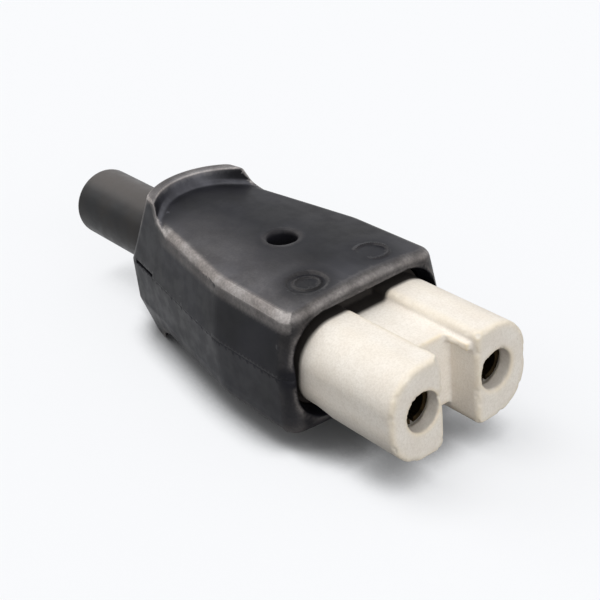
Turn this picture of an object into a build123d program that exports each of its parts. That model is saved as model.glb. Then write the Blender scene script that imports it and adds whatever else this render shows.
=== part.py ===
from build123d import *
import os

os.makedirs("parts", exist_ok=True)

# Mating sizes: two round appliance pins, and the rubber sheathed cord
pin_spacing = 19.0
pin_dia = 6.0
cord_dia = 7.5

# Overall frame: +X towards the ceramic nose, +Z up, seam of the two halves level
overall_length = 122.0
nose_x = overall_length / 2
lip_height = 17.5
seam_z = lip_height
mouth_x = nose_x - 24.5
side_bend_x = nose_x - 48.0
screw_x = nose_x - 50.1

# Outer form of both housing halves, heights measured from the seam
seam_half_width = 21.1
bend_half_width = 20.7
corner_half_width = 12.6
corner_seam_x = nose_x - 91.0
tail_seam_x = nose_x - 93.8
mouth_draft = 0.6
plan_radii = (3.4, 14.0, 3.4)
crest_radius = 0.9
lip_foot_radius = 1.4
dish_flare_run = 18.0
dish_base_drop = 1.6
dish_wall_draft = 14.0

# Upper half: sides lean in from the seam up
top_height = 14.3
crown_radius = 120.0
side_draft = 3.2
upper_lip_half_width = 11.3
upper_lip_corner_x = nose_x - 82.3
upper_lip_tail_x = nose_x - 87.2
upper_rim_radius = 2.4
upper_arch = (nose_x - 70.8, 12.9, 46.0)

# Lower half: sides upright to the waist, then the rear end leans in to the lip
base_depth = 14.8
base_crown_radius = 150.0
waist_depth = 9.5
waist_draft = 0.2
lower_draft = 0.8
waist_corner_x = nose_x - 90.6
waist_tail_x = nose_x - 93.4
lower_lip_half_width = 11.6
lower_lip_corner_x = nose_x - 85.4
lower_lip_tail_x = nose_x - 89.9
lower_rim_radius = 3.0
lower_arch = (nose_x - 72.5, 13.6, 50.0)

# Prying groove on the seam, and the moulding marks
pry_x = nose_x - 83.5
pry_y = 14.0
pry_angle = 10.7
pry_length = 9.0
pry_depth = 2.0
pry_height = 0.9
mark_x = nose_x - 32.3
mark_y = 8.35
mark_radius = 4.0
mark_depth = 0.4
mark_ring_radius = 2.8
far_mark_radius = 3.6
far_mark_rise = 0.15
ring_line = 0.5

# Bounds for choosing edges by place, and how far cutters run past a piece
rim_fall = 2.2
rim_min_y = 14.0
rim_mouth_reach = 3.0
foot_reach = 0.6
lip_region_x = nose_x - 68.0
margin = 1.0
slack = 0.1
overrun = 5.0

# Cavity, mouth collar and the ribs behind the ceramic flange
wall = 2.6
rear_corner_wall = 1.2
cavity_draft = 1.8
cavity_height = 11.4
cavity_rear_x = nose_x - 84.0
cavity_corner_x = cavity_rear_x + 2.0
cavity_rear_slope = 1.0
cavity_radii = (1.5, 11.0, 2.0)
collar_depth = 4.0
mouth_half_width = 18.8
mouth_half_height = 11.6
mouth_round = 8.5
collar_gap = 0.9
fit_gap = 0.2
rib_gap = 0.3
rib_thickness = 1.6
rib_half_width = 13.0
post_radius = 5.0
into_wall = 0.5

# Ceramic insert
tower_inner = 4.45
tower_outer = 17.3
tower_height = 9.6
tower_round = 7.8
tower_inner_round = 1.2
tower_edge = 0.8
bore_mouth_radius = 3.95
bore_mouth_depth = 3.2
bore_radius = 4.35
bore_edge = 0.4
bridge_height = 7.5
bridge_x = nose_x - 7.4
flange_height = 11.1
flange_thickness = 3.4
flange_front_x = mouth_x - collar_depth - fit_gap
flange_rear_x = flange_front_x - flange_thickness
terminal_body_half_width = 16.4
terminal_body_height = 9.0
ceramic_rear_x = nose_x - 44.5
trough_front_x = nose_x - 34.2
trough_width = 9.0
trough_floor = -4.2

# Contact sockets: split brass tubes, each with a terminal block at its rear
contact_y = pin_spacing / 2
contact_front_x = nose_x - 3.4
contact_radius = 4.1
socket_radius = pin_dia / 2 + 0.05
socket_depth = 20.0
slit_width = 0.8
slit_length = 15.0
ring_width = 0.6
ring_groove_radius = 3.7
ring_radius = 4.25
ring_gap_angle = 30.0
ring_setbacks = {"front": 5.0, "rear": 12.0}
block_front_x = trough_front_x - fit_gap
block_length = 8.6
block_width = 7.2
block_height = 3.4

# Screws and washers at the terminals
terminal_x = nose_x - 38.8
terminal_thread_dia = 3.5
terminal_screw_reach = 5.0
terminal_head_dia = 6.4
terminal_head_height = 2.2
terminal_head_round = 0.6
terminal_washer_dia = 7.0
terminal_washer_thickness = 1.0
thread_gap = 0.05
slot_width = 1.0
slot_depth = 1.0

# Housing screw, washer and nut
screw_dia = 3.0
screw_clearance_dia = 3.4
head_dia = 5.4
head_height = 2.0
head_round = 0.4
head_bore_dia = 6.4
head_bore_floor = 7.8
head_bore_edge = 0.4
washer_dia = 6.0
washer_thickness = 0.5
nut_flats = 5.5
nut_thickness = 2.4
nut_gap = 0.2
nut_seat = -8.6
screw_tip = -11.8

# Cord sleeve and cord clamp
sleeve_radius = 8.2
sleeve_bore_radius = cord_dia / 2 + 0.15
sleeve_end_x = nose_x - overall_length
sleeve_end_round = 1.2
sleeve_collar_radius = 9.6
sleeve_collar_length = 3.0
sleeve_gap = 0.05
clamp_x = nose_x - 72.0
clamp_length = 6.0
clamp_half_width = 11.6
clamp_thickness = 1.6
clamp_seat = -2.0
clamp_inner_radius = 4.0
clamp_screw_y = 8.6
clamp_screw_dia = 3.0
clamp_screw_reach = 7.0
clamp_head_dia = 5.4
clamp_head_height = 2.0
clamp_head_round = 0.5
clamp_boss_radius = 2.9
saddle_half_width = 5.5


def level(height):
    """Horizontal plane at a height above the seam."""
    return Plane.XY.offset(seam_z + height)


def station(x):
    """Upright plane across the connector, its sketch axes along Y and Z."""
    return Plane((x, 0, seam_z), x_dir=(0, 1, 0), z_dir=(1, 0, 0))


def crown(y):
    """Height of the crowned top above the seam at a distance y from the middle."""
    return top_height - crown_radius + (crown_radius**2 - y**2) ** 0.5


def plan_outline(plane, mouth, bend, corner, tail_x, radii):
    """Closed plan of the housing: straight mouth, tapered sides, arched rear, rounded corners."""
    with BuildSketch(plane) as outline:
        with BuildLine():
            Polyline((mouth[0], -mouth[1]), mouth, bend, corner)
            ThreePointArc(corner, (tail_x, 0), (corner[0], -corner[1]))
            Polyline((corner[0], -corner[1]), (bend[0], -bend[1]), (mouth[0], -mouth[1]))
        make_face()
        fillet(outline.vertices().group_by(Axis.X)[-1], radii[0])
        fillet(outline.vertices().group_by(Axis.X)[0], radii[2])
        fillet(outline.vertices().filter_by_position(Axis.X, bend[0] - margin, bend[0] + margin), radii[1])
    return outline.sketch.face()


def dish(top, crown_r, arch):
    """Cutter that lowers a half to its slight crown and leaves a finger lip round the rear end."""
    arch_x, arch_radius, flare = arch
    with BuildPart() as cutter:
        with BuildSketch(level(top - dish_base_drop)):
            with BuildLine():
                bow = CenterArc((arch_x, 0), arch_radius, 90 + flare, 180 - 2 * flare)
                far_side = PolarLine(bow @ 0, dish_flare_run, flare)
                near_side = PolarLine(bow @ 1, dish_flare_run, -flare)
                Polyline(far_side @ 1, (nose_x, (far_side @ 1).Y), (nose_x, (near_side @ 1).Y), near_side @ 1)
            make_face()
        extrude(amount=lip_height / 2, taper=-dish_wall_draft)
        with BuildSketch(station(-nose_x)):
            with Locations((0, top - crown_r)):
                Circle(crown_r)
        extrude(amount=2 * nose_x, mode=Mode.SUBTRACT)
    return cutter.part


def housing_half(sections, top, crown_r, arch, rim_radius):
    """Hollow half drawn as the upper one: rim, lip, mouth, cavity, screw post, cord channel."""
    with BuildPart() as half:
        loft(sections=sections, ruled=True)
        add(dish(top, crown_r, arch), mode=Mode.SUBTRACT)
        rim = half.edges().filter_by_position(Axis.Z, seam_z + top - rim_fall, seam_z + top + slack)
        rim = rim.filter_by(
            lambda e: abs(e.center().Y) > rim_min_y or e.center().X > mouth_x - rim_mouth_reach
        )
        fillet(rim, rim_radius)
        crest = half.edges().filter_by(lambda e: e.center().Z - seam_z > lip_height - 2 * slack)
        fillet(crest, crest_radius)
        foot = half.edges().filter_by_position(Axis.X, -nose_x, lip_region_x)
        fillet(foot.filter_by(lambda e: abs(e.center().Z - seam_z - top) < foot_reach), lip_foot_radius)
        with BuildSketch(station(mouth_x)):
            RectangleRounded(2 * mouth_half_width, 2 * mouth_half_height, mouth_round)
        with BuildSketch(station(mouth_x - collar_depth - into_wall)):
            RectangleRounded(
                2 * (tower_outer + collar_gap), 2 * (tower_height + collar_gap), tower_round + collar_gap
            )
        loft(mode=Mode.SUBTRACT)
        loft(sections=[cavity_plan, ceiling_plan], ruled=True, mode=Mode.SUBTRACT)
        with BuildSketch(level(0)):
            with Locations((screw_x, 0)):
                Circle(post_radius)
        extrude(amount=rib_top)
        with BuildSketch(station(flange_rear_x - fit_gap)):
            with Locations((0, (rib_foot + rib_top) / 2)):
                Rectangle(2 * rib_half_width, rib_top - rib_foot)
        extrude(amount=-rib_thickness)
        with BuildSketch(station(cavity_rear_x)):
            Circle(sleeve_radius + sleeve_gap)
        extrude(amount=tail_seam_x - cavity_rear_x - overrun, mode=Mode.SUBTRACT)
        with BuildSketch(station(cavity_rear_x)):
            Circle(sleeve_collar_radius + sleeve_gap)
        extrude(amount=sleeve_collar_length + sleeve_gap, mode=Mode.SUBTRACT)
        with BuildSketch(level(-overrun)):
            with Locations((screw_x, 0)):
                Circle(screw_clearance_dia / 2)
        extrude(amount=top + 2 * overrun, mode=Mode.SUBTRACT)
    return half.part


def save(piece, name):
    """Label a finished piece with its node name and write it."""
    piece.label = name
    export_step(piece, f"parts/{name}.step")


# Plans of the two halves, and of the cavity that both have
rib_foot = terminal_body_height + rib_gap
rib_top = cavity_height + into_wall
seam_plan = plan_outline(
    level(0),
    (mouth_x, seam_half_width),
    (side_bend_x, bend_half_width),
    (corner_seam_x, corner_half_width),
    tail_seam_x,
    plan_radii,
)
upper_lip_plan = plan_outline(
    level(lip_height),
    (mouth_x - mouth_draft, seam_half_width - side_draft),
    (side_bend_x, bend_half_width - side_draft),
    (upper_lip_corner_x, upper_lip_half_width),
    upper_lip_tail_x,
    plan_radii,
)
waist_plan = plan_outline(
    level(waist_depth),
    (mouth_x - waist_draft, seam_half_width - waist_draft),
    (side_bend_x, bend_half_width - waist_draft),
    (waist_corner_x, corner_half_width),
    waist_tail_x,
    plan_radii,
)
lower_lip_plan = plan_outline(
    level(lip_height),
    (mouth_x - mouth_draft, seam_half_width - lower_draft),
    (side_bend_x, bend_half_width - lower_draft),
    (lower_lip_corner_x, lower_lip_half_width),
    lower_lip_tail_x,
    plan_radii,
)
cavity_plan = plan_outline(
    level(0),
    (mouth_x - collar_depth, seam_half_width - wall),
    (side_bend_x, bend_half_width - wall),
    (cavity_corner_x, corner_half_width - rear_corner_wall),
    cavity_rear_x,
    cavity_radii,
)
ceiling_plan = plan_outline(
    level(cavity_height),
    (mouth_x - collar_depth, seam_half_width - wall - cavity_draft),
    (side_bend_x, bend_half_width - wall - cavity_draft),
    (cavity_corner_x + cavity_rear_slope, corner_half_width - rear_corner_wall - cavity_draft),
    cavity_rear_x + cavity_rear_slope,
    cavity_radii,
)

# Upper housing: prying groove, counterbore for the screw head, and two round moulding marks
with BuildPart() as upper_housing:
    upper_plans = [seam_plan, upper_lip_plan]
    add(housing_half(upper_plans, top_height, crown_radius, upper_arch, upper_rim_radius))
    with BuildSketch(level(0)):
        with Locations((pry_x, -pry_y)):
            Rectangle(pry_length, pry_depth, rotation=-pry_angle)
    extrude(amount=pry_height, mode=Mode.SUBTRACT)
    with BuildSketch(level(head_bore_floor)):
        with Locations((screw_x, 0)):
            Circle(head_bore_dia / 2)
    extrude(amount=top_height, mode=Mode.SUBTRACT)
    rings = upper_housing.edges().filter_by(lambda e: abs(e.bounding_box().center().X - screw_x) < slack)
    chamfer(rings.sort_by(Axis.Z)[-1], head_bore_edge)
    with BuildSketch(level(crown(mark_y) - mark_depth)):
        with Locations((mark_x, -mark_y)):
            Circle(mark_radius)
    extrude(amount=overrun, mode=Mode.SUBTRACT)
    with BuildSketch(level(crown(mark_y) - mark_depth - into_wall)):
        with Locations((mark_x, -mark_y)):
            Circle(mark_ring_radius)
            Circle(mark_ring_radius - ring_line, mode=Mode.SUBTRACT)
    extrude(amount=into_wall + mark_depth / 2)
    with BuildSketch(level(crown(mark_y) - into_wall)):
        with Locations((mark_x, mark_y)):
            Circle(far_mark_radius)
            Circle(far_mark_radius - ring_line, mode=Mode.SUBTRACT)
    extrude(amount=into_wall + far_mark_rise)
save(upper_housing.part, "upper_housing")

# Lower housing: nut pocket, and the cord saddle with its two screw bosses
with BuildPart() as lower_housing:
    lower_plans = [seam_plan, waist_plan, lower_lip_plan]
    base = housing_half(lower_plans, base_depth, base_crown_radius, lower_arch, lower_rim_radius)
    add(base.mirror(level(0)))
    with BuildSketch(level(nut_seat)):
        with Locations((screw_x, 0)):
            RegularPolygon((nut_flats + nut_gap) / 2, 6, major_radius=False)
    extrude(amount=-base_depth, mode=Mode.SUBTRACT)
    with BuildSketch(level(clamp_seat)):
        with Locations((clamp_x, clamp_screw_y), (clamp_x, -clamp_screw_y)):
            Circle(clamp_boss_radius)
    extrude(amount=-rib_top - clamp_seat)
    with BuildSketch(station(clamp_x - clamp_length / 2)):
        with Locations((0, (clamp_seat - rib_top) / 2)):
            Rectangle(2 * saddle_half_width, rib_top + clamp_seat)
        Circle(clamp_inner_radius, mode=Mode.SUBTRACT)
    extrude(amount=clamp_length)
    with BuildSketch(level(clamp_seat)):
        with Locations((clamp_x, clamp_screw_y), (clamp_x, -clamp_screw_y)):
            Circle(clamp_screw_dia / 2 + thread_gap)
    extrude(amount=-clamp_screw_reach - into_wall, mode=Mode.SUBTRACT)
save(lower_housing.part, "lower_housing")

# Ceramic insert: two towers with the bridge between them, retaining flange, terminal troughs
with BuildPart() as ceramic_insert:
    with BuildSketch(station(nose_x)) as nose:
        RectangleRounded(2 * tower_outer, 2 * tower_height, tower_round)
        Rectangle(2 * tower_inner, 3 * tower_height, mode=Mode.SUBTRACT)
        fillet(nose.vertices().filter_by(lambda v: abs(v.X) < tower_inner + slack), tower_inner_round)
    extrude(amount=flange_rear_x - nose_x)
    fillet(ceramic_insert.faces().sort_by(Axis.X)[-2:].edges(), tower_edge)
    with BuildSketch(station(bridge_x)):
        Rectangle(2 * (tower_inner + into_wall), 2 * bridge_height)
    extrude(amount=flange_rear_x - bridge_x)
    with BuildSketch(station(flange_front_x)):
        RectangleRounded(2 * tower_outer, 2 * flange_height, tower_round)
    extrude(amount=-flange_thickness)
    with BuildSketch(station(flange_rear_x)):
        RectangleRounded(2 * terminal_body_half_width, 2 * terminal_body_height, tower_round)
    extrude(amount=ceramic_rear_x - flange_rear_x)
    with BuildSketch(station(nose_x)):
        with Locations((contact_y, 0), (-contact_y, 0)):
            Circle(bore_mouth_radius)
    extrude(amount=-bore_mouth_depth, mode=Mode.SUBTRACT)
    with BuildSketch(station(nose_x - bore_mouth_depth)):
        with Locations((contact_y, 0), (-contact_y, 0)):
            Circle(bore_radius)
    extrude(amount=ceramic_rear_x - nose_x, mode=Mode.SUBTRACT)
    with BuildSketch(level(trough_floor)):
        with Locations(
            ((trough_front_x + ceramic_rear_x) / 2, contact_y),
            ((trough_front_x + ceramic_rear_x) / 2, -contact_y),
        ):
            Rectangle(trough_front_x - ceramic_rear_x, trough_width)
    extrude(amount=2 * terminal_body_height, mode=Mode.SUBTRACT)
    mouths = ceramic_insert.edges().filter_by(GeomType.CIRCLE).sort_by(Axis.X)[-2:]
    fillet(mouths, bore_edge)
save(ceramic_insert.part, "ceramic_insert")

for side, y in (("left", contact_y), ("right", -contact_y)):
    # Contact socket: slit tube with ring grooves, and a tapped block behind it
    with BuildPart() as contact_socket:
        with BuildSketch(station(contact_front_x)):
            with Locations((y, 0)):
                Circle(contact_radius)
        extrude(amount=block_front_x - contact_front_x)
        with BuildSketch(station(block_front_x)):
            with Locations((y, 0)):
                Rectangle(block_width, 2 * block_height)
        extrude(amount=-block_length)
        with BuildSketch(station(contact_front_x)):
            with Locations((y, 0)):
                Circle(socket_radius)
        extrude(amount=-socket_depth, mode=Mode.SUBTRACT)
        with BuildSketch(level(-contact_radius)):
            with Locations((contact_front_x - slit_length / 2, y)):
                Rectangle(slit_length, slit_width)
        extrude(amount=2 * contact_radius, mode=Mode.SUBTRACT)
        for setback in ring_setbacks.values():
            with BuildSketch(station(contact_front_x - setback + ring_width / 2 + thread_gap)):
                with Locations((y, 0)):
                    Circle(contact_radius + margin)
                    Circle(ring_groove_radius, mode=Mode.SUBTRACT)
            extrude(amount=-ring_width - 2 * thread_gap, mode=Mode.SUBTRACT)
        with BuildSketch(level(block_height)):
            with Locations((terminal_x, y)):
                Circle(terminal_thread_dia / 2 + thread_gap)
        extrude(amount=-terminal_screw_reach - into_wall, mode=Mode.SUBTRACT)
    save(contact_socket.part, f"contact_socket_{side}")

    # Open spring rings in the two grooves keep the slit tube tight on the pin
    for end, setback in ring_setbacks.items():
        with BuildPart() as contact_spring:
            with BuildSketch(station(contact_front_x - setback + ring_width / 2)):
                with BuildLine():
                    outer = CenterArc((y, 0), ring_radius, ring_gap_angle / 2, 360 - ring_gap_angle)
                    inner = CenterArc(
                        (y, 0), ring_groove_radius + thread_gap, ring_gap_angle / 2, 360 - ring_gap_angle
                    )
                    Line(outer @ 0, inner @ 0)
                    Line(outer @ 1, inner @ 1)
                make_face()
            extrude(amount=-ring_width)
        save(contact_spring.part, f"contact_spring_{side}_{end}")

    # Clamp washer on the terminal block
    with BuildPart() as terminal_washer:
        with BuildSketch(level(block_height)):
            with Locations((terminal_x, y)):
                Circle(terminal_washer_dia / 2)
                Circle(terminal_thread_dia / 2 + fit_gap, mode=Mode.SUBTRACT)
        extrude(amount=terminal_washer_thickness)
    save(terminal_washer.part, f"terminal_washer_{side}")

    # Slotted terminal screw
    with BuildPart() as terminal_screw:
        with BuildSketch(level(block_height + terminal_washer_thickness)):
            with Locations((terminal_x, y)):
                Circle(terminal_head_dia / 2)
        extrude(amount=terminal_head_height)
        fillet(terminal_screw.edges().group_by(Axis.Z)[-1], terminal_head_round)
        with BuildSketch(level(block_height + terminal_washer_thickness)):
            with Locations((terminal_x, y)):
                Circle(terminal_thread_dia / 2)
        extrude(amount=-terminal_washer_thickness - terminal_screw_reach)
        with BuildSketch(level(block_height + terminal_washer_thickness + terminal_head_height)):
            with Locations((terminal_x, y)):
                Rectangle(terminal_head_dia, slot_width)
        extrude(amount=-slot_depth, mode=Mode.SUBTRACT)
    save(terminal_screw.part, f"terminal_screw_{side}")

# Cord clamp: strap arched over the cord
with BuildPart() as cord_clamp:
    with BuildSketch(station(clamp_x - clamp_length / 2)):
        Circle(clamp_inner_radius + clamp_thickness)
        with Locations((0, clamp_seat + clamp_thickness / 2)):
            Rectangle(2 * clamp_half_width, clamp_thickness)
        Circle(clamp_inner_radius, mode=Mode.SUBTRACT)
        with Locations((0, clamp_seat - clamp_inner_radius)):
            Rectangle(2 * clamp_half_width, 2 * clamp_inner_radius, mode=Mode.SUBTRACT)
    extrude(amount=clamp_length)
    with BuildSketch(level(clamp_seat)):
        with Locations((clamp_x, clamp_screw_y), (clamp_x, -clamp_screw_y)):
            Circle(clamp_screw_dia / 2 + fit_gap)
    extrude(amount=clamp_thickness, mode=Mode.SUBTRACT)
save(cord_clamp.part, "cord_clamp")

# Screws of the cord clamp
for side, y in (("left", clamp_screw_y), ("right", -clamp_screw_y)):
    with BuildPart() as clamp_screw:
        with BuildSketch(level(clamp_seat + clamp_thickness)):
            with Locations((clamp_x, y)):
                Circle(clamp_head_dia / 2)
        extrude(amount=clamp_head_height)
        fillet(clamp_screw.edges().group_by(Axis.Z)[-1], clamp_head_round)
        with BuildSketch(level(clamp_seat + clamp_thickness)):
            with Locations((clamp_x, y)):
                Circle(clamp_screw_dia / 2)
        extrude(amount=-clamp_thickness - clamp_screw_reach)
        with BuildSketch(level(clamp_seat + clamp_thickness + clamp_head_height)):
            with Locations((clamp_x, y)):
                Rectangle(clamp_head_dia, slot_width)
        extrude(amount=-slot_depth, mode=Mode.SUBTRACT)
    save(clamp_screw.part, f"cord_clamp_screw_{side}")

# Rubber cord sleeve: collar held behind the rear wall, straight tail with a rounded end
with BuildPart() as cord_sleeve:
    with BuildSketch(station(sleeve_end_x)):
        Circle(sleeve_radius)
    extrude(amount=cavity_rear_x - sleeve_end_x)
    fillet(cord_sleeve.edges().sort_by(Axis.X)[0], sleeve_end_round)
    with BuildSketch(station(cavity_rear_x)):
        Circle(sleeve_collar_radius)
    extrude(amount=sleeve_collar_length)
    with BuildSketch(station(sleeve_end_x)):
        Circle(sleeve_bore_radius)
    extrude(amount=cavity_rear_x + sleeve_collar_length - sleeve_end_x, mode=Mode.SUBTRACT)
save(cord_sleeve.part, "cord_sleeve")

# Housing screw, its washer in the counterbore, and the nut in the lower half
with BuildPart() as housing_washer:
    with BuildSketch(level(head_bore_floor)):
        with Locations((screw_x, 0)):
            Circle(washer_dia / 2)
            Circle(screw_clearance_dia / 2, mode=Mode.SUBTRACT)
    extrude(amount=washer_thickness)
save(housing_washer.part, "housing_washer")

with BuildPart() as housing_screw:
    with BuildSketch(level(head_bore_floor + washer_thickness)):
        with Locations((screw_x, 0)):
            Circle(head_dia / 2)
    extrude(amount=head_height)
    fillet(housing_screw.edges().group_by(Axis.Z)[-1], head_round)
    with BuildSketch(level(screw_tip)):
        with Locations((screw_x, 0)):
            Circle(screw_dia / 2)
    extrude(amount=head_bore_floor + washer_thickness - screw_tip)
    with BuildSketch(level(head_bore_floor + washer_thickness + head_height)):
        with Locations((screw_x, 0)):
            Rectangle(head_dia, slot_width)
    extrude(amount=-slot_depth, mode=Mode.SUBTRACT)
save(housing_screw.part, "housing_screw")

with BuildPart() as housing_nut:
    with BuildSketch(level(nut_seat)):
        with Locations((screw_x, 0)):
            RegularPolygon(nut_flats / 2, 6, major_radius=False)
            Circle(screw_dia / 2 + thread_gap, mode=Mode.SUBTRACT)
    extrude(amount=-nut_thickness)
save(housing_nut.part, "housing_nut")
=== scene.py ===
import math

import bmesh
import bpy
import numpy as np
from mathutils import Matrix, Vector, noise
from mathutils.kdtree import KDTree


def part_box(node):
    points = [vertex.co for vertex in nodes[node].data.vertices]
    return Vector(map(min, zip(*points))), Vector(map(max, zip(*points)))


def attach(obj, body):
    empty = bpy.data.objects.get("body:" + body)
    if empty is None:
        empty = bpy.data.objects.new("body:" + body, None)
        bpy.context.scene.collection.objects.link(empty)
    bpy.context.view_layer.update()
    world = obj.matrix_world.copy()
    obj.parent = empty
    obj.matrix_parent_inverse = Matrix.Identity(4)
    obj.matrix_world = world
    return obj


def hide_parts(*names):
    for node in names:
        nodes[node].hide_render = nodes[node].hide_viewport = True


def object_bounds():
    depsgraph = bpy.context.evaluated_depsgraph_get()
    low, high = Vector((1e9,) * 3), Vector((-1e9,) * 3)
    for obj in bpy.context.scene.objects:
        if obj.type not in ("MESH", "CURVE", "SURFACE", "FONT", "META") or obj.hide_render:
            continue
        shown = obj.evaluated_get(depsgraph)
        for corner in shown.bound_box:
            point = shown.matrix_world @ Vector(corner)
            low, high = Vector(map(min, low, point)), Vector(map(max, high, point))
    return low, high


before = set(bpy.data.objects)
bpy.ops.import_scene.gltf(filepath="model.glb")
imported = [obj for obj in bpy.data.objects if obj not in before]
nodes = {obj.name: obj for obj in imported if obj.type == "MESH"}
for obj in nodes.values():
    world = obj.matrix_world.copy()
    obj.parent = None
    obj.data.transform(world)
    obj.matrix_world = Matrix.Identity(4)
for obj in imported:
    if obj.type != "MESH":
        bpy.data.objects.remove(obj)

scene = bpy.context.scene
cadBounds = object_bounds()
mm = 0.001
weldReach = 0.002 * mm  # corners of the CAD's loose triangles that lie this close are one point


# Node and mesh helpers

def linear(hexColour):  # an sRGB colour such as 8d837c, as the shader wants it
    channels = [int(hexColour[i : i + 2], 16) / 255 for i in (0, 2, 4)]
    return (*[c / 12.92 if c <= 0.04045 else ((c + 0.055) / 1.055) ** 2.4 for c in channels], 1)


def addNode(tree, kind, links=None, **settings):  # links: input name or number -> value or output socket
    node = tree.nodes.new(kind)
    for name, value in settings.items():
        setattr(node, name, value)
    for name, value in (links or {}).items():
        if isinstance(value, bpy.types.NodeSocket):
            tree.links.new(value, node.inputs[name])
        else:
            node.inputs[name].default_value = value
    return node


def newMaterial(name):
    material = bpy.data.materials.new(name)
    material.use_nodes = True
    material.node_tree.nodes.clear()
    return material, material.node_tree


def finishMaterial(material, tree, shader):
    addNode(tree, "ShaderNodeOutputMaterial", {"Surface": shader.outputs[0]})
    return material


def ramp(tree, value, low, high, toLow=0.0, toHigh=1.0):  # clamped, smooth step between two values
    return addNode(
        tree, "ShaderNodeMapRange",
        {"Value": value, "From Min": low, "From Max": high, "To Min": toLow, "To Max": toHigh},
        interpolation_type="SMOOTHSTEP",
    ).outputs["Result"]


def mixColour(tree, share, first, second):
    node = addNode(tree, "ShaderNodeMix", {"Factor": share}, data_type="RGBA")
    colourSockets = [s for s in node.inputs if s.type == "RGBA"]
    for socket, value in zip(colourSockets, (first, second)):
        if isinstance(value, bpy.types.NodeSocket):
            tree.links.new(value, socket)
        else:
            socket.default_value = value
    return [s for s in node.outputs if s.type == "RGBA"][0]


def grain(tree, place, sizeInMm, detail=2.0, roughness=0.5):  # noise, mostly between 0.3 and 0.7
    return addNode(
        tree, "ShaderNodeTexNoise",
        {"Vector": place, "Scale": 1 / (sizeInMm * mm), "Detail": detail, "Roughness": roughness},
    ).outputs["Fac"]


def arithmetic(tree, operation, first, second=0.0):
    return addNode(tree, "ShaderNodeMath", {0: first, 1: second}, operation=operation).outputs[0]


def joinedMesh(nodeName):  # the CAD piece's own form with its loose triangles joined up
    mesh = nodes[nodeName].data.copy()
    mesh.materials.clear()
    shape = bmesh.new()
    shape.from_mesh(mesh)
    bmesh.ops.remove_doubles(shape, verts=shape.verts, dist=weldReach)
    shape.to_mesh(mesh)
    shape.free()
    return mesh


def newPiece(name, mesh):
    piece = bpy.data.objects.new(name, mesh)
    scene.collection.objects.link(piece)
    return piece


def bakeModifiers(piece):  # the evaluated shape becomes the piece's own mesh
    bpy.context.view_layer.update()
    evaluated = piece.evaluated_get(bpy.context.evaluated_depsgraph_get())
    mesh = bpy.data.meshes.new_from_object(evaluated)
    piece.modifiers.clear()
    piece.data = mesh
    return mesh


def seat(piece, slotName, *replaced):  # every piece rides on the one body of the connector
    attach(piece, "root")
    if replaced:
        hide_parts(*replaced)


def vertexArrays(mesh):
    count = len(mesh.vertices)
    points = np.empty(count * 3)
    mesh.vertices.foreach_get("co", points)
    normals = np.empty(count * 3)
    mesh.vertices.foreach_get("normal", normals)
    return points.reshape(-1, 3), normals.reshape(-1, 3)


def edgeBulge(mesh, rounds):  # how far each point stands proud of its softened surroundings, in metres
    points, normals = vertexArrays(mesh)
    ends = np.empty(len(mesh.edges) * 2, dtype=np.int64)
    mesh.edges.foreach_get("vertices", ends)
    first, second = ends.reshape(-1, 2).T
    count = len(points)
    links = np.bincount(first, minlength=count) + np.bincount(second, minlength=count)
    soft = points.copy()
    for _ in range(rounds):
        sums = [
            np.bincount(first, column[second], count) + np.bincount(second, column[first], count)
            for column in soft.T
        ]
        soft = (soft + np.stack(sums, axis=1) / links[:, None]) / 2
    return ((points - soft) * normals).sum(axis=1)


def storeAttribute(mesh, name, values):
    attribute = mesh.attributes.new(name, "FLOAT", "POINT")
    attribute.data.foreach_set("value", np.asarray(values, dtype=np.float32))


def fade(values, start, full):  # 0 at the start, 1 where full, straight between them
    return np.clip((values - start) / (full - start), 0, 1)


def evenGrid(mesh, voxel, softening):  # closed grid of even faces that lies on the piece's own surface
    target = newPiece("target", mesh)
    grid = newPiece("grid", mesh.copy())
    remesh = grid.modifiers.new("grid", "REMESH")
    remesh.mode = "VOXEL"
    remesh.voxel_size = voxel
    press = grid.modifiers.new("press", "SHRINKWRAP")
    press.target = target
    press.wrap_method = "NEAREST_SURFACEPOINT"
    soften = grid.modifiers.new("soften", "SMOOTH")
    soften.iterations = softening
    even = bakeModifiers(grid)
    even.polygons.foreach_set("use_smooth", [True] * len(even.polygons))
    bpy.data.objects.remove(target)
    bpy.data.objects.remove(grid)
    return even


# Camera, at the photograph's place

cameraSettings = {
    "azimuth": 53.04,
    "elevation": 29.67,
    "roll": -5.42,
    "distance": 236.69 * mm,
    "slideRight": -29.42 * mm,
    "slideUp": 16.40 * mm,
    "lens": 77.91,
    "clipStart": 10 * mm,
}


def makeCamera(settings):
    noseFront = cadBounds[1].x
    seamHeight = (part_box("ceramic_insert")[0].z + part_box("ceramic_insert")[1].z) / 2
    azimuth, elevation = math.radians(settings["azimuth"]), math.radians(settings["elevation"])
    back = Vector((
        math.sin(azimuth) * math.cos(elevation),
        -math.cos(azimuth) * math.cos(elevation),
        math.sin(elevation),
    ))
    right = (-back).cross(Vector((0, 0, 1))).normalized()
    up = right.cross(-back)
    roll = math.radians(settings["roll"])
    right, up = (
        right * math.cos(roll) + up * math.sin(roll),
        up * math.cos(roll) - right * math.sin(roll),
    )
    camera = bpy.data.objects.new("camera", bpy.data.cameras.new("camera"))
    scene.collection.objects.link(camera)
    camera.data.lens = settings["lens"]
    camera.data.clip_start = settings["clipStart"]
    place = Vector((noseFront, 0, seamHeight)) + back * settings["distance"]
    place += right * settings["slideRight"] + up * settings["slideUp"]
    turn = Matrix((right, up, back)).transposed().to_4x4()
    camera.matrix_world = Matrix.Translation(place) @ turn
    scene.camera = camera


makeCamera(cameraSettings)
print("camera set")


# Light and stage

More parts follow.
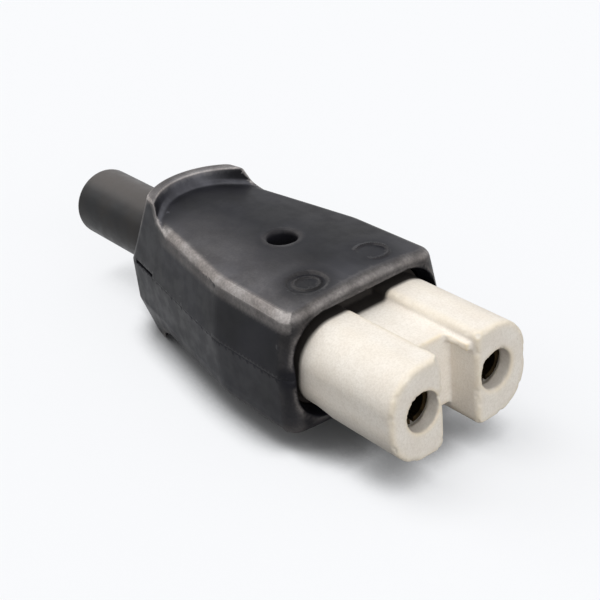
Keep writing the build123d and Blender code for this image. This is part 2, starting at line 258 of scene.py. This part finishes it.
lightSettings = {
    "ambient": 0.42,
    "lamps": {  # where each lamp stands, seen from the object, with its strength and apparent width
        "keyAbove": {"from": (-0.25, -0.12, 0.96), "strength": 1.35, "width": math.radians(30)},
        "rimLeft": {"from": (-0.72, -0.36, 0.60), "strength": 0.8, "width": math.radians(40)},
        "frontFill": {"from": (0.96, -0.20, 0.20), "strength": 1.9, "width": math.radians(50)},
    },
    "backdrop": "f8f9fb",
    "floorReach": 3.0,
    "paper": "f2f3f5",  # catches the soft shadow
    "shadowShare": 0.3,
    "bounce": "505050",  # the floor as the object's own light sees it
    "contactColour": "161617",
    "contactReach": 12 * mm,
    "contactOpen": (0.44, 0.80),  # how open the floor is where the contact shadow is full, and gone
    "contactSamples": 16,
}


def makeLights(settings):
    scene.view_settings.view_transform = "Standard"
    world = bpy.data.worlds.new("studio")
    scene.world = world
    world.use_nodes = True
    tree = world.node_tree
    tree.nodes.clear()
    plain = addNode(
        tree, "ShaderNodeBackground", {"Color": linear("ffffff"), "Strength": settings["ambient"]},
    )
    shown = addNode(tree, "ShaderNodeBackground", {"Color": linear(settings["backdrop"]), "Strength": 1.0})
    both = addNode(
        tree, "ShaderNodeMixShader", {0: seenRays(tree), 1: plain.outputs[0], 2: shown.outputs[0]},
    )
    addNode(tree, "ShaderNodeOutputWorld", {"Surface": both.outputs[0]})
    for name, lampSettings in settings["lamps"].items():
        lamp = bpy.data.objects.new(name, bpy.data.lights.new(name, "SUN"))
        lamp.data.energy = lampSettings["strength"]
        lamp.data.angle = lampSettings["width"]
        lamp.rotation_euler = Vector(lampSettings["from"]).to_track_quat("Z", "Y").to_euler()
        scene.collection.objects.link(lamp)


def seenRays(tree):  # 1 for rays that show the backdrop: from the camera, off gloss and through glass
    path = addNode(tree, "ShaderNodeLightPath")
    seen = arithmetic(tree, "MAXIMUM", path.outputs["Is Camera Ray"], path.outputs["Is Glossy Ray"])
    return arithmetic(tree, "MAXIMUM", seen, path.outputs["Is Transmission Ray"])


def makeFloor(settings):
    reach = settings["floorReach"]
    mesh = bpy.data.meshes.new("floor")
    corners = [(-reach, -reach, 0), (reach, -reach, 0), (reach, reach, 0), (-reach, reach, 0)]
    mesh.from_pydata(corners, [], [(0, 1, 2, 3)])
    floor = newPiece("floor", mesh)
    material, tree = newMaterial("paperBackdrop")  # matt white paper sweep with a close contact shadow
    near = addNode(
        tree, "ShaderNodeAmbientOcclusion",
        {"Distance": settings["contactReach"]}, samples=settings["contactSamples"],
    )
    tone = mixColour(
        tree, ramp(tree, near.outputs["AO"], *settings["contactOpen"]),
        linear(settings["contactColour"]), linear(settings["backdrop"]),
    )
    even = addNode(tree, "ShaderNodeEmission", {"Color": tone, "Strength": 1.0})
    paper = addNode(tree, "ShaderNodeBsdfDiffuse", {"Color": linear(settings["paper"])})
    shown = addNode(
        tree, "ShaderNodeMixShader", {0: settings["shadowShare"], 1: even.outputs[0], 2: paper.outputs[0]},
    )
    bounced = addNode(tree, "ShaderNodeBsdfDiffuse", {"Color": linear(settings["bounce"])})
    both = addNode(
        tree, "ShaderNodeMixShader", {0: seenRays(tree), 1: bounced.outputs[0], 2: shown.outputs[0]},
    )
    mesh.materials.append(finishMaterial(material, tree, both))


makeLights(lightSettings)
makeFloor(lightSettings)
print("lights and floor made")


# Materials

def objectPlace(tree):
    return addNode(tree, "ShaderNodeTexCoord").outputs["Object"]


phenolicLook = {
    "skin": ("141417", "1d1d22"),
    # grey of dust, also used as a painted sheen on the top and painted light inside the lip
    "dustAndSheen": "5f5f65",
    # rubbed grey, also standing in as a painted highlight along the rims
    "rubbed": ("a39c98", "c4bebb"),
    "roughness": (0.34, 0.46),
    "rubbedRoughness": 0.3,  # added where it is rubbed
    "grainStrength": 0.1,
    "grainHeight": 0.05 * mm,
    "softEdge": 0.25 * mm,
    "specular": 0.10,
}
ceramicLook = {
    "body": ("efe7dc", "f6f0e7"),
    "grit": "cdc3b4",
    "gritShare": 0.35,
    "rubbed": "ead9b8",
    "rubbedShare": 0.75,
    "chipped": "f1eadf",
    "chippedShare": 0.8,
    "pits": "8f8374",
    "pitSpacing": 1.5 * mm,
    "pitShare": 0.5,
    "pitDepth": 1.5,  # against the height of the fine grain
    # painted shade where the nose goes into the housing's mouth
    "paintedMouthShade": "26221f",
    "grainStrength": 0.35,
    "grainHeight": 0.1 * mm,
    "roughness": 0.8,
    "specular": 0.3,
}
rubberLook = {
    "bloom": ("1b1b1c", "262321"),
    "dustAndSheen": "696461",
    "dustAndSheenSlope": (0.72, 1.0),  # height of the normal where the dust and painted sheen start, and where they are full
    "dustAndSheenShare": 0.65,
    "roughness": (0.36, 0.46),
    "grainStrength": 0.1,
    "grainHeight": 0.05 * mm,
    "specular": 0.14,
}
metalLooks = {  # bright and dull colour, least roughness
    "tarnishedBrass": ("4c3f29", "1f1a13", 0.4),
    "zincPlatedSteel": ("b4b3aa", "85847c", 0.35),
    "bluedSpringSteel": ("5f6168", "45444a", 0.3),
}


def makePhenolic(look):  # compression-moulded black phenolic: satin skin, rubbed grey and a painted highlight along its edges, dust and a painted sheen on top
    material, tree = newMaterial("mouldedPhenolic")
    place = objectPlace(tree)
    # wear attribute: rubbed edges, and a painted highlight in the bands along the top rims
    rubbed = addNode(tree, "ShaderNodeAttribute", attribute_name="wear").outputs["Fac"]
    dustAndSheenAmount = addNode(tree, "ShaderNodeAttribute", attribute_name="dustAndSheen").outputs["Fac"]
    cloudy = ramp(tree, grain(tree, place, 14), 0.35, 0.68)
    skin = mixColour(tree, cloudy, *map(linear, look["skin"]))
    drifts = ramp(tree, grain(tree, place, 6, 4), 0.25, 0.75, 0.35, 1.0)
    # dust and painted sheen laid over the skin
    skin = mixColour(tree, arithmetic(tree, "MULTIPLY", dustAndSheenAmount, drifts), skin, linear(look["dustAndSheen"]))
    speckle = ramp(tree, grain(tree, place, 0.6, 3, 0.7), 0.35, 0.68, 0.7, 1.0)
    patches = ramp(tree, grain(tree, place, 5), 0.3, 0.7, 0.7, 1.0)
    share = arithmetic(tree, "MULTIPLY", arithmetic(tree, "MULTIPLY", rubbed, patches), speckle)
    wearAndHighlightColour = mixColour(tree, ramp(tree, grain(tree, place, 9), 0.4, 0.6), *map(linear, look["rubbed"]))
    rough = ramp(tree, grain(tree, place, 3, 4), 0.3, 0.7, *look["roughness"])
    rough = arithmetic(tree, "ADD", rough, arithmetic(tree, "MULTIPLY", share, look["rubbedRoughness"]))
    softEdge = addNode(tree, "ShaderNodeBevel", {"Radius": look["softEdge"]}, samples=4)
    bump = addNode(
        tree, "ShaderNodeBump",
        {
            "Height": grain(tree, place, 0.4, 3, 0.6), "Strength": look["grainStrength"],
            "Distance": look["grainHeight"], "Normal": softEdge.outputs[0],
        },
    )
    shader = addNode(
        tree, "ShaderNodeBsdfPrincipled",
        {
            "Base Color": mixColour(tree, share, skin, wearAndHighlightColour), "Roughness": rough,
            "Normal": bump.outputs[0], "IOR": 1.5, "Specular IOR Level": look["specular"],
        },
    )
    return finishMaterial(material, tree, shader)


def makeCeramic(look):  # unglazed pressed steatite: matt cream, gritty, yellowed on its rubbed edges, with painted shade where it goes into the housing's mouth
    material, tree = newMaterial("unglazedSteatite")
    place = objectPlace(tree)
    rubbed, chipped, mouthShaded = (
        addNode(tree, "ShaderNodeAttribute", attribute_name=name).outputs["Fac"]
        for name in ("wear", "chip", "paintedMouthShade")
    )
    cloudy = ramp(tree, grain(tree, place, 7, 4), 0.3, 0.7)
    colour = mixColour(tree, cloudy, *map(linear, look["body"]))
    grit = ramp(tree, grain(tree, place, 0.45, 4, 0.7), 0.35, 0.7, 0.0, look["gritShare"])
    colour = mixColour(tree, grit, colour, linear(look["grit"]))
    for worn, name in ((rubbed, "rubbed"), (chipped, "chipped")):
        share = arithmetic(tree, "MULTIPLY", worn, look[name + "Share"])
        colour = mixColour(tree, share, colour, linear(look[name]))
    pores = addNode(tree, "ShaderNodeTexVoronoi", {"Vector": place, "Scale": 1 / look["pitSpacing"]})
    pits = ramp(tree, pores.outputs["Distance"], 0.04, 0.1, 1.0, 0.0)
    some = ramp(tree, grain(tree, place, 2.5), 0.56, 0.64)  # most pores are closed
    share = arithmetic(tree, "MULTIPLY", arithmetic(tree, "MULTIPLY", pits, some), look["pitShare"])
    colour = mixColour(tree, share, colour, linear(look["pits"]))
    # painted shade mixed in where the nose goes into the housing's mouth
    colour = mixColour(tree, mouthShaded, colour, linear(look["paintedMouthShade"]))
    fine = addNode(
        tree, "ShaderNodeMath",
        {0: grain(tree, place, 0.9, 5, 0.7), 1: 2.0, 2: grain(tree, place, 0.3, 3, 0.6)},
        operation="MULTIPLY_ADD",
    ).outputs[0]
    height = arithmetic(tree, "SUBTRACT", fine, arithmetic(tree, "MULTIPLY", share, look["pitDepth"]))
    bump = addNode(
        tree, "ShaderNodeBump",
        {"Height": height, "Strength": look["grainStrength"], "Distance": look["grainHeight"]},
    )
    shader = addNode(
        tree, "ShaderNodeBsdfPrincipled",
        {
            "Base Color": colour, "Roughness": look["roughness"], "Normal": bump.outputs[0],
            "IOR": 1.5, "Specular IOR Level": look["specular"],
        },
    )
    return finishMaterial(material, tree, shader)


def makeRubber(look):  # moulded black rubber: soft satin with a faint brown bloom, dust and a painted sheen on top
    material, tree = newMaterial("mouldedRubber")
    place = objectPlace(tree)
    bloom = ramp(tree, grain(tree, place, 8, 3), 0.35, 0.7)
    colour = mixColour(tree, bloom, *map(linear, look["bloom"]))
    normal = addNode(tree, "ShaderNodeNewGeometry").outputs["Normal"]
    slope = addNode(tree, "ShaderNodeSeparateXYZ", {0: normal}).outputs["Z"]
    # dust and painted sheen on the upward faces
    dustAndSheenAmount = ramp(tree, slope, *look["dustAndSheenSlope"], 0.0, look["dustAndSheenShare"])
    colour = mixColour(tree, dustAndSheenAmount, colour, linear(look["dustAndSheen"]))
    rough = ramp(tree, grain(tree, place, 2, 3), 0.3, 0.7, *look["roughness"])
    bump = addNode(
        tree, "ShaderNodeBump",
        {
            "Height": grain(tree, place, 0.4, 3), "Strength": look["grainStrength"],
            "Distance": look["grainHeight"],
        },
    )
    shader = addNode(
        tree, "ShaderNodeBsdfPrincipled",
        {
            "Base Color": colour, "Roughness": rough, "Normal": bump.outputs[0],
            "IOR": 1.5, "Specular IOR Level": look["specular"],
        },
    )
    return finishMaterial(material, tree, shader)


def makeMetal(name, bright, dull, roughness):  # turned or rolled metal, rougher where its tarnish lies
    material, tree = newMaterial(name)
    patches = ramp(tree, grain(tree, objectPlace(tree), 1.5, 4), 0.35, 0.7)
    colour = mixColour(tree, patches, linear(bright), linear(dull))
    rough = ramp(tree, patches, 0, 1, roughness, roughness + 0.2)
    shader = addNode(
        tree, "ShaderNodeBsdfPrincipled",
        {"Base Color": colour, "Roughness": rough, "Metallic": 1.0},
    )
    return finishMaterial(material, tree, shader)


phenolic = makePhenolic(phenolicLook)
ceramic = makeCeramic(ceramicLook)
rubber = makeRubber(rubberLook)
brass, plated, spring = (makeMetal(name, *look) for name, look in metalLooks.items())
print("materials made")


# Housing halves

housingSettings = {  # a pair says where a share starts and where it is full
    "faceSize": 1.2 * mm,  # longest edge after the CAD faces are divided
    "splitRounds": 6,
    "voxel": 0.45 * mm,
    "softening": 2,
    "sharpAngle": math.radians(35),
    "wearRounds": 16,
    "wearBulge": (0.05 * mm, 0.24 * mm),
    "wearShare": 0.4,
    "seamClear": (1.5 * mm, 3.0 * mm),  # nothing is worn near the seam
    "outward": (-1 / 6, 1 / 6),  # nor on faces of the inside
    "quietPlaces": [  # nor round the screw hole and the two marks: place and reach
        (10.9 * mm, 0.0, 6 * mm), (28.7 * mm, -8.35 * mm, 7 * mm), (28.7 * mm, 8.35 * mm, 7 * mm),
    ],
    "quietLeast": 0.1,
    # rubbed wear and a painted highlight along the top rims, strongest on the near rim and the lip's crest
    "rimHeights": (9 * mm, 10 * mm),  # above the seam
    "rimSlope": 0.62,  # height of the normal in the middle of the rubbed band
    "rimSpread": 0.32,
    "sideTurn": (0, 0.5),
    "nearRim": 2.1,
    "farRim": 0.4,
    "mouthRim": 0.55,
    "lipPlaces": (-8 * mm, -16 * mm),
    "lipRim": 1.3,
    "lipSpread": 0.18,
    "lipBulge": (0.02, 0.22),
    "dustAndSheenShares": (0.04, 0.5),  # dust and painted sheen: least and most on the level top
    "dustAndSheenSlope": (0.90, 0.98),
    "nearDustAndSheen": (4 * mm, 16 * mm),
    "frontDustAndSheen": (24 * mm, 32 * mm),
    "frontDustAndSheenShare": 0.6,
    # painted light on the lip's inner faces, which lie in shade
    "lipPaintedLight": 1.1,
    "inwardTurn": (0, 0.4),
}


def divided(mesh, longest, rounds):  # the same surface in smaller faces, so that it can carry wear
    shape = bmesh.new()
    shape.from_mesh(mesh)
    for _ in range(rounds):
        long = [edge for edge in shape.edges if edge.calc_length() > longest]
        if not long:
            break
        bmesh.ops.subdivide_edges(shape, edges=long, cuts=1)
        bmesh.ops.triangulate(shape, faces=[face for face in shape.faces if len(face.verts) > 3])
    shape.to_mesh(mesh)
    shape.free()
    return mesh


def carried(mesh, source, values, hits=3):  # the mean of the values at the source's nearest points
    tree = KDTree(len(source.vertices))
    for index, vertex in enumerate(source.vertices):
        tree.insert(vertex.co, index)
    tree.balance()
    found = np.empty(len(mesh.vertices))
    for index, vertex in enumerate(mesh.vertices):
        near = tree.find_n(vertex.co, hits)
        found[index] = sum(values[hit[1]] for hit in near) / len(near)
    return found


def rimWearAndPaintedHighlight(points, normals, height, bulge, settings):  # rubbed wear and a painted highlight in bands along the top rims, mostly the near one
    above = fade(height, *settings["rimHeights"])
    rearward = fade(points[:, 0], *settings["lipPlaces"])
    offMiddle = normals[:, 2] - settings["rimSlope"]
    rim = np.exp(-((offMiddle / settings["rimSpread"]) ** 2)) * above
    share = settings["nearRim"] * fade(-normals[:, 1], *settings["sideTurn"])
    share += settings["farRim"] * fade(normals[:, 1], *settings["sideTurn"])
    rim *= np.where(normals[:, 0] > np.abs(normals[:, 1]), settings["mouthRim"], share)
    crest = np.exp(-((offMiddle / settings["lipSpread"]) ** 2)) * above * rearward * settings["lipRim"]
    convex = np.maximum(1 - rearward, fade(bulge, *settings["lipBulge"]))
    return np.clip(np.maximum(rim, crest), 0, 1) * convex


def dustAndPaintedLight(points, normals, height, settings):  # dust and a painted sheen on the top towards the near rim and front, and painted light on the shaded faces inside the lip
    least, most = settings["dustAndSheenShares"]
    front = settings["frontDustAndSheenShare"] * fade(points[:, 0], *settings["frontDustAndSheen"])
    spread = np.maximum(fade(-points[:, 1], *settings["nearDustAndSheen"]), front)
    top = fade(normals[:, 2], *settings["dustAndSheenSlope"]) * (least + (most - least) * spread)
    inward = np.maximum(normals[:, 0], -normals[:, 1] * np.sign(points[:, 1]))
    lip = settings["lipPaintedLight"] * fade(inward, *settings["inwardTurn"])
    lip *= fade(points[:, 0], *settings["lipPlaces"])
    return np.maximum(top, lip) * (height > settings["rimHeights"][0])


def wearable(points, normals, height, settings):  # 1 where hands and other things reach, else less
    outward = (normals[:, 1] * points[:, 1] + normals[:, 2] * height) / np.hypot(points[:, 1], height)
    share = fade(np.abs(height), *settings["seamClear"]) * fade(outward, *settings["outward"])
    for placeX, placeY, reach in settings["quietPlaces"]:
        away = np.hypot(points[:, 0] - placeX, points[:, 1] - placeY)
        share *= np.maximum(fade(away, reach / 2, reach), settings["quietLeast"])
    return share


def makeHousing(nodeName, settings):
    joined = joinedMesh(nodeName)
    even = evenGrid(joined.copy(), settings["voxel"], settings["softening"])
    mesh = divided(joined, settings["faceSize"], settings["splitRounds"])
    bulge = carried(mesh, even, fade(edgeBulge(even, settings["wearRounds"]), *settings["wearBulge"]))
    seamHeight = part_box("upper_housing")[0].z
    points, normals = vertexArrays(mesh)
    height = points[:, 2] - seamHeight
    share = wearable(points, normals, height, settings)
    rims = rimWearAndPaintedHighlight(points, normals, height, bulge, settings)
    # wear on the convex edges, with the painted highlight of the rim bands
    storeAttribute(mesh, "wear", np.maximum(bulge * settings["wearShare"], rims) * share)
    # dust and painted sheen on the top, painted light inside the lip
    storeAttribute(mesh, "dustAndSheen", dustAndPaintedLight(points, normals, height, settings) * share)
    mesh.polygons.foreach_set("use_smooth", [True] * len(mesh.polygons))
    mesh.set_sharp_from_angle(angle=settings["sharpAngle"])
    mesh.materials.append(phenolic)
    piece = newPiece(nodeName + "_shell", mesh)
    level = piece.modifiers.new("evenNormals", "WEIGHTED_NORMAL")
    level.mode = "FACE_AREA_WITH_ANGLE"
    level.keep_sharp = True
    bakeModifiers(piece)
    seat(piece, "black_phenolic", nodeName)
    print(nodeName, len(piece.data.polygons), "faces")


for nodeName in ("upper_housing", "lower_housing"):
    makeHousing(nodeName, housingSettings)


# Ceramic nose

ceramicSettings = {
    "voxel": 0.34 * mm,
    "softening": 6,
    "wearRounds": 10,
    "wearFull": 0.22 * mm,
    "chipDepth": 0.55 * mm,
    "chipSizes": (2.2 * mm, 0.7 * mm),
    "chipWear": 0.2,  # only edges rubbed this much have chips
    "chipFineShare": 0.5,
    "chipLevel": 0.10,  # noise above this comes loose
    "chipGain": 2.2,
    "brokenCorners": [  # corner in millimetres, direction that the break faces, depth
        ((61.0, -4.45, 27.1), (0.68, 0.68, 0.28), 1.4 * mm),
        ((61.0, 4.45, 27.1), (0.60, -0.50, 0.60), 0.9 * mm),
        ((61.0, -4.45, 7.9), (0.60, 0.60, -0.40), 1.0 * mm),
    ],
    "breakReach": 7 * mm,
    "breakGrain": (1.1 * mm, 0.3 * mm),  # size and height of the broken faces' roughness
    "ledge": (  # broken moulding flash on the far tower's inner face: low and high corner
        (52.0 * mm, 3.3 * mm, 23.4 * mm), (59.4 * mm, 5.2 * mm, 24.9 * mm),
    ),
    "underDrop": 0.10,  # the towers reach this share lower under the seam than the CAD's
    "dropPlaces": (38 * mm, 42 * mm),
    "mouthShadeFrom": 36.1 * mm,  # painted shade: black where it goes into the housing's mouth, standing in for the shade in there
    "mouthShadeLean": 0.13,  # further out towards the top
    "mouthShadeFade": 1.0 * mm,
}


def addBlock(mesh, low, high):  # a box that the remesh then makes one with the mesh
    shape = bmesh.new()
    shape.from_mesh(mesh)
    middle = (Vector(low) + Vector(high)) / 2
    size = Matrix.Diagonal((*(Vector(high) - Vector(low)), 1))
    bmesh.ops.create_cube(shape, size=1, matrix=Matrix.Translation(middle) @ size)
    shape.to_mesh(mesh)
    shape.free()


def breakCorner(points, chip, corner, facing, depth, settings):  # a rough break across a corner
    size, height = settings["breakGrain"]
    beyond = (points - corner) @ np.array(facing) + depth
    close = np.linalg.norm(points - corner, axis=1) < settings["breakReach"]
    for index in np.nonzero(close & (beyond > 0))[0]:
        lost = max(0.0, beyond[index] + height * noise.noise(Vector(points[index]) / size))
        points[index] -= np.array(facing) * lost
        chip[index] = 1.0


def chippedEdges(points, wear, settings):  # how much of each point is chipped off, 0 to 1
    chip = np.zeros(len(points))
    for index in np.nonzero(wear > settings["chipWear"])[0]:
        place = Vector(points[index])
        coarse, small = (noise.noise(place / size) for size in settings["chipSizes"])
        loose = max(0.0, coarse + settings["chipFineShare"] * small - settings["chipLevel"])
        chip[index] = min(1.0, settings["chipGain"] * loose * wear[index])
    return chip


def makeCeramicNose(settings):
    whole = joinedMesh("ceramic_insert")
    addBlock(whole, *settings["ledge"])
    mesh = evenGrid(whole, settings["voxel"], settings["softening"])
    wear = fade(edgeBulge(mesh, settings["wearRounds"]), 0, settings["wearFull"])
    points, normals = vertexArrays(mesh)
    chip = chippedEdges(points, wear, settings)
    points -= normals * (settings["chipDepth"] * chip)[:, None]
    for corner, facing, depth in settings["brokenCorners"]:
        breakCorner(points, chip, np.array(corner) * mm, Vector(facing).normalized(), depth, settings)
    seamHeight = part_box("upper_housing")[0].z
    under = np.minimum(points[:, 2] - seamHeight, 0)
    points[:, 2] += under * settings["underDrop"] * fade(points[:, 0], *settings["dropPlaces"])
    mesh.vertices.foreach_set("co", points.ravel())
    mesh.update()
    # painted shade over the part of the nose inside the housing's mouth
    mouthShadeEdge = settings["mouthShadeFrom"] + settings["mouthShadeLean"] * (points[:, 2] - seamHeight)
    paintedMouthShade = fade(points[:, 0], mouthShadeEdge, mouthShadeEdge - settings["mouthShadeFade"])
    for name, values in (("wear", wear), ("chip", chip), ("paintedMouthShade", paintedMouthShade)):
        storeAttribute(mesh, name, values)
    mesh.materials.append(ceramic)
    piece = newPiece("ceramic_nose", mesh)
    seat(piece, "cream_ceramic", "ceramic_insert")
    print("ceramic", len(mesh.polygons), "faces")


makeCeramicNose(ceramicSettings)


# Screw threads, which the CAD's plain shafts leave out

threadSettings = {
    "pitch": 0.5 * mm,
    "ridge": 0.14 * mm,
    "ridgeSides": 6,
    "turnPoints": 24,
    "tipClear": 0.4 * mm,
    "screws": {  # shaft radius and threaded length
        "terminal_screw_left": (1.75 * mm, 4.4 * mm),
        "terminal_screw_right": (1.75 * mm, 4.4 * mm),
        "cord_clamp_screw_left": (1.5 * mm, 6.2 * mm),
        "cord_clamp_screw_right": (1.5 * mm, 6.2 * mm),
        "housing_screw": (1.5 * mm, 9.0 * mm),
    },
}


def makeThreadTree(settings):
    tree = bpy.data.node_groups.new("screwThread", "GeometryNodeTree")
    tree.interface.new_socket("Geometry", in_out="OUTPUT", socket_type="NodeSocketGeometry")
    for name, kind in (
        ("Radius", "NodeSocketFloat"), ("Length", "NodeSocketFloat"), ("Pitch", "NodeSocketFloat"),
        ("Ridge", "NodeSocketFloat"), ("Tip", "NodeSocketVector"), ("Finish", "NodeSocketMaterial"),
    ):
        tree.interface.new_socket(name, in_out="INPUT", socket_type=kind)
    given = addNode(tree, "NodeGroupInput").outputs
    turns = arithmetic(tree, "DIVIDE", given["Length"], given["Pitch"])
    spiral = addNode(
        tree, "GeometryNodeCurveSpiral",
        {
            "Resolution": settings["turnPoints"], "Rotations": turns, "Start Radius": given["Radius"],
            "End Radius": given["Radius"], "Height": given["Length"],
        },
    )
    profile = addNode(
        tree, "GeometryNodeCurvePrimitiveCircle",
        {"Resolution": settings["ridgeSides"], "Radius": given["Ridge"]},
    )
    ridge = addNode(
        tree, "GeometryNodeCurveToMesh",
        {"Curve": spiral.outputs[0], "Profile Curve": profile.outputs[0], "Fill Caps": True},
    )
    placed = addNode(
        tree, "GeometryNodeTransform", {"Geometry": ridge.outputs[0], "Translation": given["Tip"]},
    )
    real = addNode(tree, "GeometryNodeRealizeInstances", {"Geometry": placed.outputs[0]})
    dressed = addNode(
        tree, "GeometryNodeSetMaterial", {"Geometry": real.outputs[0], "Material": given["Finish"]},
    )
    addNode(tree, "NodeGroupOutput", {"Geometry": dressed.outputs[0]})
    return tree


def makeThread(nodeName, radius, length, tree, settings):  # winds the ridge up a shaft from its tip
    low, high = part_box(nodeName)
    values = {
        "Radius": radius, "Length": length, "Pitch": settings["pitch"], "Ridge": settings["ridge"],
        "Tip": ((low.x + high.x) / 2, (low.y + high.y) / 2, low.z + settings["tipClear"]), "Finish": plated,
    }
    piece = newPiece(nodeName + "_thread", bpy.data.meshes.new("thread"))
    winding = piece.modifiers.new("winding", "NODES")
    winding.node_group = tree
    for item in tree.interface.items_tree:
        if item.in_out == "INPUT":
            winding[item.identifier] = values[item.name]
    mesh = bakeModifiers(piece)
    shape = bmesh.new()
    shape.from_mesh(mesh)
    bmesh.ops.recalc_face_normals(shape, faces=shape.faces)
    shape.to_mesh(mesh)
    shape.free()
    seat(piece, "plated_steel")
    print(piece.name, len(mesh.polygons), "faces")


threadTree = makeThreadTree(threadSettings)
for nodeName, (radius, length) in threadSettings["screws"].items():
    makeThread(nodeName, radius, length, threadTree, threadSettings)


# Pieces that keep their CAD form

coveredNodes = ("upper_housing", "lower_housing", "ceramic_insert")
finishes = {
    "contact_socket": brass, "terminal_washer": brass, "contact_spring": spring, "cord_sleeve": rubber,
}
for nodeName, node in nodes.items():
    if nodeName not in coveredNodes:
        finish = next((found for start, found in finishes.items() if nodeName.startswith(start)), plated)
        node.data.materials.clear()
        node.data.materials.append(finish)
print("all pieces dressed")
